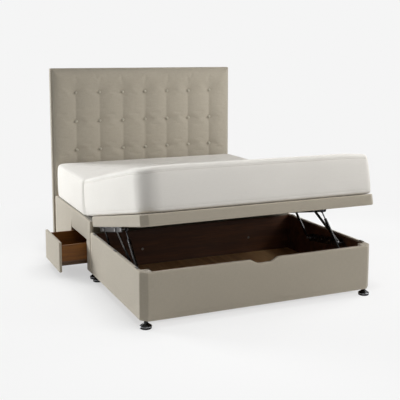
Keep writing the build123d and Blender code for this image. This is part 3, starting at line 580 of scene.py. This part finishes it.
for side, sign in (("left", -1), ("right", 1)):
    # The path runs with the inside on its left, so it goes the other way round on the left side
    path = head_path()[::sign]
    stations = [((sign * SIDE, y), (sign * (SIDE - PANEL), y)) for y, base in path]
    points, faces = band(stations, [base for y, base in path], lambda place: DECK, False, seed=3.1 + sign)
    cover = mesh_piece(f"head_upholstery_{side}", points, faces)
    dress(cover, "base", "base_fabric", base_cloth, f"head_side_panel_{side}")
    low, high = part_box(f"drawer_front_{side}")
    face = rounded_box(f"drawer_face_{side}", low, high, radius=0.005, step=0.02, swell=0.0004, seed=5 + sign)
    dress(face, f"drawer_{side}", "base_fabric", base_cloth, f"drawer_front_{side}")


# Headboard

PAD_X = end_of("headboard_pad", X, HIGH)
PAD_LOW, PAD_TOP = end_of("headboard_pad", Z, LOW), end_of("headboard_pad", Z, HIGH)
PAD_BACK = end_of("headboard_pad", Y, HIGH)
PAD_THICK = PAD_BACK - end_of("headboard_pad", Y, LOW)
# Thickness at the pad's edge, and over what distance the pad rolls down to it
PAD_EDGE, PAD_ROLL = 0.010, 0.045
# Evenly spaced columns and rows of buttons
BUTTON_RADIUS = 0.013
COLUMN_COUNT, ROW_COUNT = 7, 3
COLUMN_PITCH = 2 * end_of("headboard_frame", X, HIGH) / (COLUMN_COUNT + 1)
TOP_ROW = round(end_of("headboard_buttons", Z, HIGH) - BUTTON_RADIUS, 3)
LAST_ROW = round(end_of("headboard_buttons", Z, LOW) + BUTTON_RADIUS, 3)
ROW_PITCH = round((TOP_ROW - LAST_ROW) / (ROW_COUNT - 1), 4)
COLUMNS = [COLUMN_PITCH * (k - COLUMN_COUNT // 2) for k in range(COLUMN_COUNT)]
ROWS = [TOP_ROW - ROW_PITCH * k for k in range(ROW_COUNT)]
# Channels under the top row: depth, how far above the row they start, and over what length they deepen
CHANNEL_DEEP, CHANNEL_START, CHANNEL_FADE = 0.0090, 0.09, 0.12
# Dimple round each button: depth and reach
DIMPLE_DEEP, DIMPLE_REACH = 0.0105, 0.032
# Most that channels and dimples take together, and over what distance from the edge they fade in
SUNK_MOST, SUNK_FADE = 0.0175, 0.04
# Distances from the pad's edge and from a channel's line within which the cloth is sewn down
SEWN_EDGE, SEWN_CHANNEL = 0.012, 0.0062
# Stations of the face: some near each edge, then even ones from a little further in
NEAR_EDGE, EVEN_FROM = np.array([0, 0.003, 0.010]), 0.02
ACROSS_COUNT, UP_COUNT = 122, 84
# Button's profile as radius and height
BUTTON = [
    (0.0108, 0.0), (0.0124, 0.0014), (0.0122, 0.0026), (0.0108, 0.0042),
    (0.0080, 0.0057), (0.0042, 0.0067), (0.0012, 0.0070),
]
# Cloth simulation's settings
CLOTH = {
    "quality": 6, "mass": 0.25, "tension_stiffness": 18, "compression_stiffness": 18, "shear_stiffness": 6,
    "bending_stiffness": 2.5, "use_pressure": True, "uniform_pressure_force": 2.2, "shrink_min": -0.003,
}
# Frames of the simulation, and how far it may move a point
CLOTH_FRAMES, CLOTH_MOST = 20, 0.009


def from_edge(x, z):
    """Distance of a place on the pad's face from the nearest edge."""
    return np.minimum.reduce([PAD_X - np.abs(x), z - PAD_LOW, PAD_TOP - z])


def tufting(x, z):
    """Thickness of the buttoned pad at a place of its face."""
    edge = from_edge(x, z)
    roll = 1 - np.clip(1 - edge / PAD_ROLL, 0, 1) ** 2.4
    thick = PAD_EDGE + (PAD_THICK - PAD_EDGE) * roll
    near = np.min([np.abs(x - cx) for cx in COLUMNS], axis=0) / (COLUMN_PITCH / 2)
    below = np.clip((TOP_ROW + CHANNEL_START - z) / CHANNEL_FADE, 0, 1) ** 1.6
    sunk = CHANNEL_DEEP * below * np.clip(1 - near, 0, 1) ** 2
    pulled = np.zeros_like(x)
    for cx in COLUMNS:
        for cz in ROWS:
            r = np.hypot(x - cx, z - cz)
            pulled = np.maximum(pulled, DIMPLE_DEEP * np.exp(-((r / DIMPLE_REACH) ** 1.2)))
    return thick - np.clip(sunk + pulled, 0, SUNK_MOST) * np.clip(edge / SUNK_FADE, 0, 1)


def pinned(x, z):
    """Where the pad's cloth is sewn down: its edge, its channels and its buttons."""
    held = from_edge(x, z) < SEWN_EDGE
    for cx in COLUMNS:
        held |= (np.abs(x - cx) < SEWN_CHANNEL) & (z < TOP_ROW)
        for cz in ROWS:
            held |= np.hypot(x - cx, z - cz) < BUTTON_RADIUS
    return held


def grid_faces(nx, nz):
    """Numbers of a grid's points and the quads between them."""
    at = np.arange(nx * nz).reshape(nx, nz)
    quads = np.stack([at[:-1, :-1], at[1:, :-1], at[1:, 1:], at[:-1, 1:]], -1)
    return at, quads.reshape(-1, 4).tolist()


def relaxed(sheet, held):
    """Cloth simulation of a grid whose outside faces -Y: pressure fills it between its held points."""
    nx, nz = sheet.shape[:2]
    work = mesh_piece("cloth_work", sheet.reshape(-1, 3), grid_faces(nx, nz)[1])
    group = work.vertex_groups.new(name="pin")
    group.add([int(i) for i in np.flatnonzero(held.ravel())], 1.0, "REPLACE")
    modifier = work.modifiers.new("cloth", "CLOTH")
    modifier.settings.vertex_group_mass = "pin"
    for key, value in CLOTH.items():
        setattr(modifier.settings, key, value)
    modifier.settings.effector_weights.gravity = 0
    modifier.point_cache.frame_start, modifier.point_cache.frame_end = 1, CLOTH_FRAMES
    for step in range(1, CLOTH_FRAMES + 1):
        scene.frame_set(step)
    result = work.evaluated_get(bpy.context.evaluated_depsgraph_get()).to_mesh()
    points = np.zeros(nx * nz * 3)
    result.vertices.foreach_get("co", points)
    scene.frame_set(1)
    bpy.data.objects.remove(work)
    moved = points.reshape(nx, nz, 3) - sheet
    length = np.linalg.norm(moved, axis=2, keepdims=True)
    return sheet + moved * np.minimum(1, CLOTH_MOST / np.maximum(length, TINY))


def finer(sheet):
    """The grid with a point added between each two, on a smooth curve through the old ones."""
    for axis in (0, 1):
        g = np.moveaxis(sheet, axis, 0)
        wide = np.concatenate([2 * g[:1] - g[1:2], g, 2 * g[-1:] - g[-2:-1]])
        middle = (9 * (wide[1:-2] + wide[2:-1]) - wide[:-3] - wide[3:]) / 16
        out = np.empty((2 * len(g) - 1, *g.shape[1:]))
        out[0::2], out[1::2] = g, middle
        sheet = np.moveaxis(out, 0, axis)
    return sheet


def backed(name, sheet, back):
    """Closed pad: the grid of points in front of a flat back."""
    points = list(sheet.reshape(-1, 3))
    at, faces = grid_faces(*sheet.shape[:2])
    loop = [int(k) for k in (*at[:, 0], *at[-1, 1:], *at[-2::-1, -1], *at[0, -2:0:-1])]
    start, n = len(points), len(loop)
    points += [np.array([points[k][0], back, points[k][2]]) for k in loop]
    faces += [(loop[(k + 1) % n], loop[k], start + k, start + (k + 1) % n) for k in range(n)]
    faces.append(tuple(start + k for k in range(n)))
    return mesh_piece(name, points, faces)


def pad_cuts(low, high, count):
    """Places across the pad, closer together at its two edges."""
    even = np.linspace(low + EVEN_FROM, high - EVEN_FROM, count)
    return np.concatenate([low + NEAR_EDGE, even, (high - NEAR_EDGE)[::-1]])


def rounded_loop(low, high, y, radius, parts):
    """Points round an upright rectangle with rounded corners, each side divided into parts."""
    centres_x = (low[X] + radius, high[X] - radius)
    centres_z = (low[Z] + radius, high[Z] - radius)
    corners = []
    for cx, cz, start in ((HIGH, LOW, 270), (HIGH, HIGH, 0), (LOW, HIGH, 90), (LOW, LOW, 180)):
        plan = arc((centres_x[cx], centres_z[cz]), radius, start, start + 90, 5)
        corners.append([(x, y, z) for x, z in plan])
    loop = []
    for corner, following in zip(corners, corners[1:] + corners[:1]):
        a, b = np.array(corner[-1]), np.array(following[0])
        loop += corner[:-1] + [a + (b - a) * k / parts for k in range(parts)]
    return np.array(loop)


board_low, board_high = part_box("headboard_frame")
shell = rounded_box("headboard_cover", board_low, board_high, radius=0.009, step=0.03, swell=0.0006, seed=2.2)
dress(shell, "base", "headboard_fabric", head_cloth, "headboard_frame")

pad_x, pad_z = pad_cuts(-PAD_X, PAD_X, ACROSS_COUNT), pad_cuts(PAD_LOW, PAD_TOP, UP_COUNT)
grid_x, grid_z = np.meshgrid(pad_x, pad_z, indexing="ij")
face = np.stack([grid_x, PAD_BACK - tufting(grid_x, grid_z), grid_z], -1)
face = relaxed(face, pinned(grid_x, grid_z))
pad = backed("headboard_padding", finer(face), PAD_BACK)
dress(pad, "base", "headboard_fabric", head_cloth, "headboard_pad")

button_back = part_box("headboard_buttons")[LOW][Y] + BUTTON[-1][1]
button_places = [(x, button_back, z) for x in COLUMNS for z in ROWS]
caps = turned("headboard_button_caps", BUTTON, button_places, forward=True)
dress(caps, "base", "headboard_fabric", button_cloth_painted_highlight, "headboard_buttons")

# Lining of the back: its margin to the board's edge, how deep it sits in the board, how far it stands out
LINING_MARGIN, LINING_SUNK, LINING_PROUD = 0.03, 0.0006, 0.0014
# Welt round the lining: how deep its middle lies in the lining, roundness of its corners, parts of each side
WELT_SUNK, WELT_CORNER, WELT_PARTS = 0.0006, 0.008, 20
low = (board_low[X] + LINING_MARGIN, board_high[Y] - LINING_SUNK, LINING_MARGIN)
high = (board_high[X] - LINING_MARGIN, board_high[Y] + LINING_PROUD, board_high[Z] - LINING_MARGIN)
back = rounded_box("headboard_back_lining", low, high, radius=0.0009, step=0.05, swell=0.0002, seed=1.3)
dress(back, "base", "headboard_fabric", painted_shade_and_lining_cloth)
points, faces = welt(rounded_loop(low, high, high[Y] - WELT_SUNK, WELT_CORNER, WELT_PARTS), (0, 1, 0))
dress(mesh_piece("headboard_back_welt", points, faces), "base", "headboard_fabric", head_cloth)


# Mattress

# Gap between the deck and the mattress
BED_GAP = 0.0005
BED_LOW = DECK + BED_GAP
BED_X = end_of("mattress_head", X, HIGH)
BED_FOOT, BED_HEAD = FOOT + (SIDE - BED_X), end_of("mattress_head", Y, HIGH)
# Radii of the left and right foot corners and of the head's, and the least that an inset leaves of them
CORNER_LEFT, CORNER_RIGHT, CORNER_HEAD, CORNER_LEAST = 0.125, 0.050, 0.075, 0.004
# Bend over the lid's turning line: its reach to either side, and the steps in which it is worked out
BEND_REACH, BEND_STEPS = 0.055, 60
BEND_START, BEND_END = POLE_Y + BEND_REACH, POLE_Y - BEND_REACH
# Stations of the outline: in each corner, along the foot edge and along the head edge
CORNER_COUNT, FOOT_COUNT, HEAD_COUNT = 14, 66, 72
# Stations of the sides: before, in and after the stretch that bends, where they are closer together
FINE_FOOT, FINE_HEAD, FINE_STEP = POLE_Y - 0.118, POLE_Y + 0.117, 0.007
BEFORE_COUNT, FINE_COUNT, AFTER_COUNT = 56, 32, 34
# Inset and height of the border's rows, from the bottom panel up to the top panel
BORDER = [
    (0.050, 0.000), (0.026, 0.001), (0.012, 0.005), (0.006, 0.012), (0.0040, 0.017), (0.0050, 0.0215),
    (0.003, 0.026), (0.002, 0.040), (0.0005, 0.068), (0.000, 0.098), (0.000, 0.128), (0.000, 0.158),
    (0.001, 0.188), (0.002, 0.208), (0.0035, 0.219), (0.0060, 0.2245), (0.0045, 0.230), (0.0065, 0.238),
    (0.0120, 0.2455), (0.021, 0.2510), (0.032, 0.2545), (0.055, 0.2565),
]
PANEL_RISE = BORDER[-1][1]
# Rings over the top and under the bottom, and the distance from the bed's ends to the line they close on
OVER_COUNT, UNDER_COUNT, SPINE_INSET = 42, 9, 0.72
# Top panel: width from its border to the bed's middle, how far it is domed, and its quilting lines
PANEL_REACH, CROWN = 0.687, 0.0035
QUILT_PITCH, QUILT_WIDTH, QUILT_DEEP, QUILT_MARGIN = 0.165, 0.012, 0.0042, 0.08
# Sinking of the top at the foot corners: depth and reach
DROOP, DROOP_REACH = 0.012, 0.11
# Crease at the turning line: depth, half width, and where across the bed it starts and is full
CREASE_DEEP, CREASE_HALF, CREASE_START, CREASE_FULL = 0.014, 0.020, 0.62, 0.74
# Edge cords: their inset, and the height of each
CORD_INSET, CORD_RISES = 0.0050, {"piping_upper": 0.2245, "piping_lower": 0.0215}
# Points closer than this are joined, which closes the rings' ends
WELD = 0.0004


def bed_outline(inset):
    """Plan of the mattress, always with the same stations. It starts and ends at the left foot corner."""
    def bend(cx, cy, radius, start):
        return arc((cx, cy), max(radius - inset, CORNER_LEAST), start, start + 90, CORNER_COUNT)

    def side(start):
        """Places along one side, closer together where the mattress bends."""
        before = np.linspace(start, FINE_FOOT, BEFORE_COUNT)
        fine = FINE_FOOT + FINE_STEP * np.arange(1, FINE_COUNT + 1)
        return np.concatenate([before, fine, np.linspace(FINE_HEAD, head_y, AFTER_COUNT)])

    head_y = BED_HEAD - CORNER_HEAD
    left_y, right_y = BED_FOOT + CORNER_LEFT, BED_FOOT + CORNER_RIGHT
    front = np.linspace(-BED_X + CORNER_LEFT, BED_X - CORNER_RIGHT, FOOT_COUNT)[1:-1]
    back = np.linspace(BED_X - CORNER_HEAD, -BED_X + CORNER_HEAD, HEAD_COUNT)[1:-1]
    points = bend(-BED_X + CORNER_LEFT, left_y, CORNER_LEFT, 180)
    points += [(x, BED_FOOT + inset) for x in front]
    points += bend(BED_X - CORNER_RIGHT, right_y, CORNER_RIGHT, 270)
    points += [(BED_X - inset, y) for y in side(right_y)[1:-1]]
    points += bend(BED_X - CORNER_HEAD, head_y, CORNER_HEAD, 0)
    points += [(x, BED_HEAD - inset) for x in back]
    points += bend(-BED_X + CORNER_HEAD, head_y, CORNER_HEAD, 90)
    points += [(-BED_X + inset, y) for y in side(left_y)[-2:0:-1]]
    return np.array(points)


def level_ring(plan, rise):
    """Points of a plan at one height above the mattress's bottom."""
    return np.column_stack([plan, np.full(len(plan), BED_LOW + rise)])


def bent(points):
    """The flat mattress, bent over the lid's turning line into the photographed pose."""
    points = np.array(points, float)
    along, up = points[:, Y] - POLE_Y, points[:, Z] - POLE_Z
    y = points[:, Y].copy()
    # How far a point turns depends on where it ends up, so its place is found by repeated steps
    for _ in range(BEND_STEPS):
        share = np.clip((BEND_START - y) / (BEND_START - BEND_END), 0, 1)
        turn = LIFT * share * share * (3 - 2 * share)
        y = POLE_Y + along * np.cos(turn) + up * np.sin(turn)
    points[:, Y], points[:, Z] = y, POLE_Z - along * np.sin(turn) + up * np.cos(turn)
    return points


def quilt(x, y):
    """Shallow quilting lines of the top panel, crossing in diamonds."""
    line = np.zeros_like(x)
    for sign in (-1, 1):
        phase = ((x + sign * y) / QUILT_PITCH) % 1.0
        away = np.minimum(phase, 1 - phase) * QUILT_PITCH
        line = np.maximum(line, np.exp(-((away / QUILT_WIDTH) ** 2)))
    return line


def settled(points):
    """The border is drawn in where the mattress bends, and the top sinks a little at the foot corners."""
    across, along = BED_X - np.abs(points[:, X]), points[:, Y] - BED_FOOT
    rise = np.clip((points[:, Z] - BED_LOW) / PANEL_RISE, 0, 1) ** 2
    points[:, Z] -= DROOP * rise * np.exp(-(across ** 2 + along ** 2) / DROOP_REACH ** 2)
    near = np.exp(-((points[:, Y] - POLE_Y) / CREASE_HALF) ** 2)
    side = np.clip((np.abs(points[:, X]) - CREASE_START) / (CREASE_FULL - CREASE_START), 0, 1) ** 2
    points[:, X] -= np.sign(points[:, X]) * CREASE_DEEP * near * side
    return points


def mattress_rings():
    """Rings of the flat mattress, from the middle of its bottom up over the border to the top's middle."""
    border = [level_ring(bed_outline(inset), rise) for inset, rise in BORDER]
    first, last = border[0][:, [X, Y]], border[-1][:, [X, Y]]
    spine_y = np.clip(last[:, Y], BED_FOOT + SPINE_INSET, BED_HEAD - SPINE_INSET)
    spine = np.column_stack([np.zeros(len(last)), spine_y])
    over = []
    for share in np.linspace(0, 1, OVER_COUNT)[1:]:
        plan = last + (spine - last) * share
        ring = level_ring(plan, PANEL_RISE + CROWN * (1 - (1 - share) ** 3))
        quilted = np.clip(share * PANEL_REACH / QUILT_MARGIN, 0, 1)
        ring[:, Z] -= QUILT_DEEP * quilted * quilt(plan[:, X], plan[:, Y])
        over.append(ring)
    under = [level_ring(first + (spine - first) * share, 0) for share in np.linspace(0, 1, UNDER_COUNT)[1:]]
    return under[::-1] + border + over


def dress_bed(piece):
    """Ticking on a piece that bends with the mattress over the lid's turning line."""
    piece.data.materials.append(ticking)
    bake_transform(piece)


rings = mattress_rings()
count = len(rings[0])
faces = []
for r in range(len(rings) - 1):
    for k in range(count):
        a, b = r * count + k, r * count + (k + 1) % count
        faces.append((a, b, b + count, a + count))
mattress = mesh_piece("mattress", bent(settled(np.concatenate(rings))), faces)
bm = bmesh.new()
bm.from_mesh(mattress.data)
bmesh.ops.remove_doubles(bm, verts=bm.verts, dist=WELD)
bmesh.ops.recalc_face_normals(bm, faces=bm.faces)
bm.to_mesh(mattress.data)
bm.free()
dress_bed(mattress)
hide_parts("mattress_foot", "mattress_head")

for name, rise in CORD_RISES.items():
    points, faces = welt(settled(level_ring(bed_outline(CORD_INSET), rise)), (0, 0, 1))
    dress_bed(mesh_piece(f"mattress_{name}", bent(points), faces))


# Camera and lamps

CAMERA_PLACE = (-2.02596, -5.72870, 1.48265)
# Degrees below level and round the upright axis
CAMERA_DOWN, CAMERA_TURN = 7.489, -23.777
# Lens and sensor in millimetres, and upright shift as a share of the picture
CAMERA_LENS, CAMERA_SENSOR, CAMERA_SHIFT = 67.440, 36, -0.12

camera_data = bpy.data.cameras.new("camera")
camera = bpy.data.objects.new("camera", camera_data)
scene.collection.objects.link(camera)
camera.location = CAMERA_PLACE
camera.rotation_euler = (math.radians(90 - CAMERA_DOWN), 0, math.radians(CAMERA_TURN))
camera_data.lens = CAMERA_LENS
camera_data.sensor_width = CAMERA_SENSOR
camera_data.shift_y = CAMERA_SHIFT
scene.camera = camera


def soft_box(name, place, target, side, power, colour=(1, 1, 1)):
    """Square area lamp that faces its target."""
    data = bpy.data.lights.new(name, "AREA")
    data.shape = "SQUARE"
    data.size = side
    data.energy = power
    data.color = colour
    item = bpy.data.objects.new(name, data)
    scene.collection.objects.link(item)
    item.location = place
    item.rotation_euler = (Vector(target) - Vector(place)).to_track_quat("-Z", "Y").to_euler()


# Name, place, target, side, power and colour
soft_box("left_soft", (-6.6, 5.3, 3.4), (-0.75, -1.5, 0.3), 4.0, 980, (0.965, 0.985, 1.0))
soft_box("right_soft", (2.4, -1.5, 2.2), (0, 0, 0.9), 1.1, 35)
soft_box("top_soft", (0.3, -2.5, 3.2), (0.1, -2.1, 0.3), 1.8, 20)
soft_box("fill_soft", (-0.8, -3.4, 3.0), (-0.2, -2.0, 0.3), 2.0, 22)
soft_box("front_soft", (3.2, -4.2, 2.0), (0.2, -1.9, 0.4), 1.8, 56)


# Backdrop and floor

BACKGROUND = linear((245, 245, 245))
SKY_LIGHT = 0.066
# Half width of the floor
FLOOR_HALF = 60
# Floor's shade under the bed: its reach, the direction in which it looks for what stands over the floor,
# its darkest level, and how open the floor is where the shade is darkest and where it ends
SHADE_REACH, SHADE_LEAN = 0.28, (0.55, -0.45, 0.70)
SHADE_DARKEST, OPEN_LEAST, OPEN_MOST = 0.70, 0.35, 0.93
# In front of the bed most of the shade fades away, apart from its left end
AHEAD_START, AHEAD_END, INWARD_START, INWARD_END, FADED_SHARE = -1.90, -2.00, -0.80, -0.62, 0.9
# The floor turns into the backdrop between two distances from the bed's middle
FAR_START, FAR_END, BED_MIDDLE_Y = 1.5, 2.9, -1.05
# Share of the glow in what the camera sees of the floor
GLOW_SHARE = 0.75


def seen_from_camera(tree):
    """1 on rays from the camera and on those that a gloss or glass sends on."""
    path = tree.nodes.new("ShaderNodeLightPath")
    value = path.outputs["Is Camera Ray"]
    for other in ("Is Glossy Ray", "Is Transmission Ray"):
        larger = tree.nodes.new("ShaderNodeMath")
        larger.operation = "MAXIMUM"
        tree.links.new(value, larger.inputs[0])
        tree.links.new(path.outputs[other], larger.inputs[1])
        value = larger.outputs[0]
    return value


def floor_paint():
    """Pale floor: the camera sees it part lit and part glowing, darker where the bed stands close above it,
    and further out as bright as the backdrop."""
    m = Nodes("floor_pale")
    m.finish(Base_Color=linear((238, 238, 237)), Roughness=0.9, Specular_IOR_Level=0.0)
    inputs = {"Distance": SHADE_REACH, "Normal": SHADE_LEAN}
    openness = m.add("ShaderNodeAmbientOcclusion", inputs, samples=16).outputs["AO"]
    level = m.between(openness, SHADE_DARKEST, 1.0, OPEN_LEAST, OPEN_MOST)
    place = m.add("ShaderNodeSeparateXYZ", {0: m.coords()})
    ahead = m.between(place.outputs[Y], 0.0, 1.0, AHEAD_START, AHEAD_END, "SMOOTHSTEP")
    inward = m.between(place.outputs[X], 0.0, 1.0, INWARD_START, INWARD_END, "SMOOTHSTEP")
    front = m.math("MULTIPLY", m.math("MULTIPLY", ahead, inward), FADED_SHARE)
    level = m.math("ADD", level, m.math("MULTIPLY", front, m.math("SUBTRACT", 1.0, level)))
    glow = m.add("ShaderNodeEmission", {1: level}).outputs[0]
    close = m.shaders(GLOW_SHARE, m.shader.outputs[0], glow)
    middle = {0: m.coords(), 1: (0, -BED_MIDDLE_Y, 0)}
    offset = m.add("ShaderNodeVectorMath", middle, operation="ADD").outputs[0]
    reach = m.add("ShaderNodeVectorMath", {0: offset}, operation="LENGTH").outputs["Value"]
    far_share = m.between(reach, 0.0, 1.0, FAR_START, FAR_END, "SMOOTHSTEP")
    far = m.add("ShaderNodeEmission", {0: BACKGROUND}).outputs[0]
    both = m.shaders(seen_from_camera(m.tree), m.shader.outputs[0], m.shaders(far_share, close, far))
    m.tree.links.new(both, m.tree.nodes["Material Output"].inputs[0])
    return m.material


world = bpy.data.worlds.new("studio")
scene.world = world
world.use_nodes = True
tree = world.node_tree
sky = tree.nodes["Background"]
sky.inputs[0].default_value = (1, 1, 1, 1)
sky.inputs[1].default_value = SKY_LIGHT
backdrop = tree.nodes.new("ShaderNodeBackground")
backdrop.inputs[0].default_value = BACKGROUND
mixer = tree.nodes.new("ShaderNodeMixShader")
tree.links.new(seen_from_camera(tree), mixer.inputs[0])
tree.links.new(sky.outputs[0], mixer.inputs[1])
tree.links.new(backdrop.outputs[0], mixer.inputs[2])
tree.links.new(mixer.outputs[0], tree.nodes["World Output"].inputs[0])

floor_corners = [(a * FLOOR_HALF, b * FLOOR_HALF, 0) for a, b in ((-1, -1), (1, -1), (1, 1), (-1, 1))]
floor = mesh_piece("floor", floor_corners, [(0, 1, 2, 3)], smooth=False)
floor.data.materials.append(floor_paint())

scene.view_settings.view_transform = "Standard"
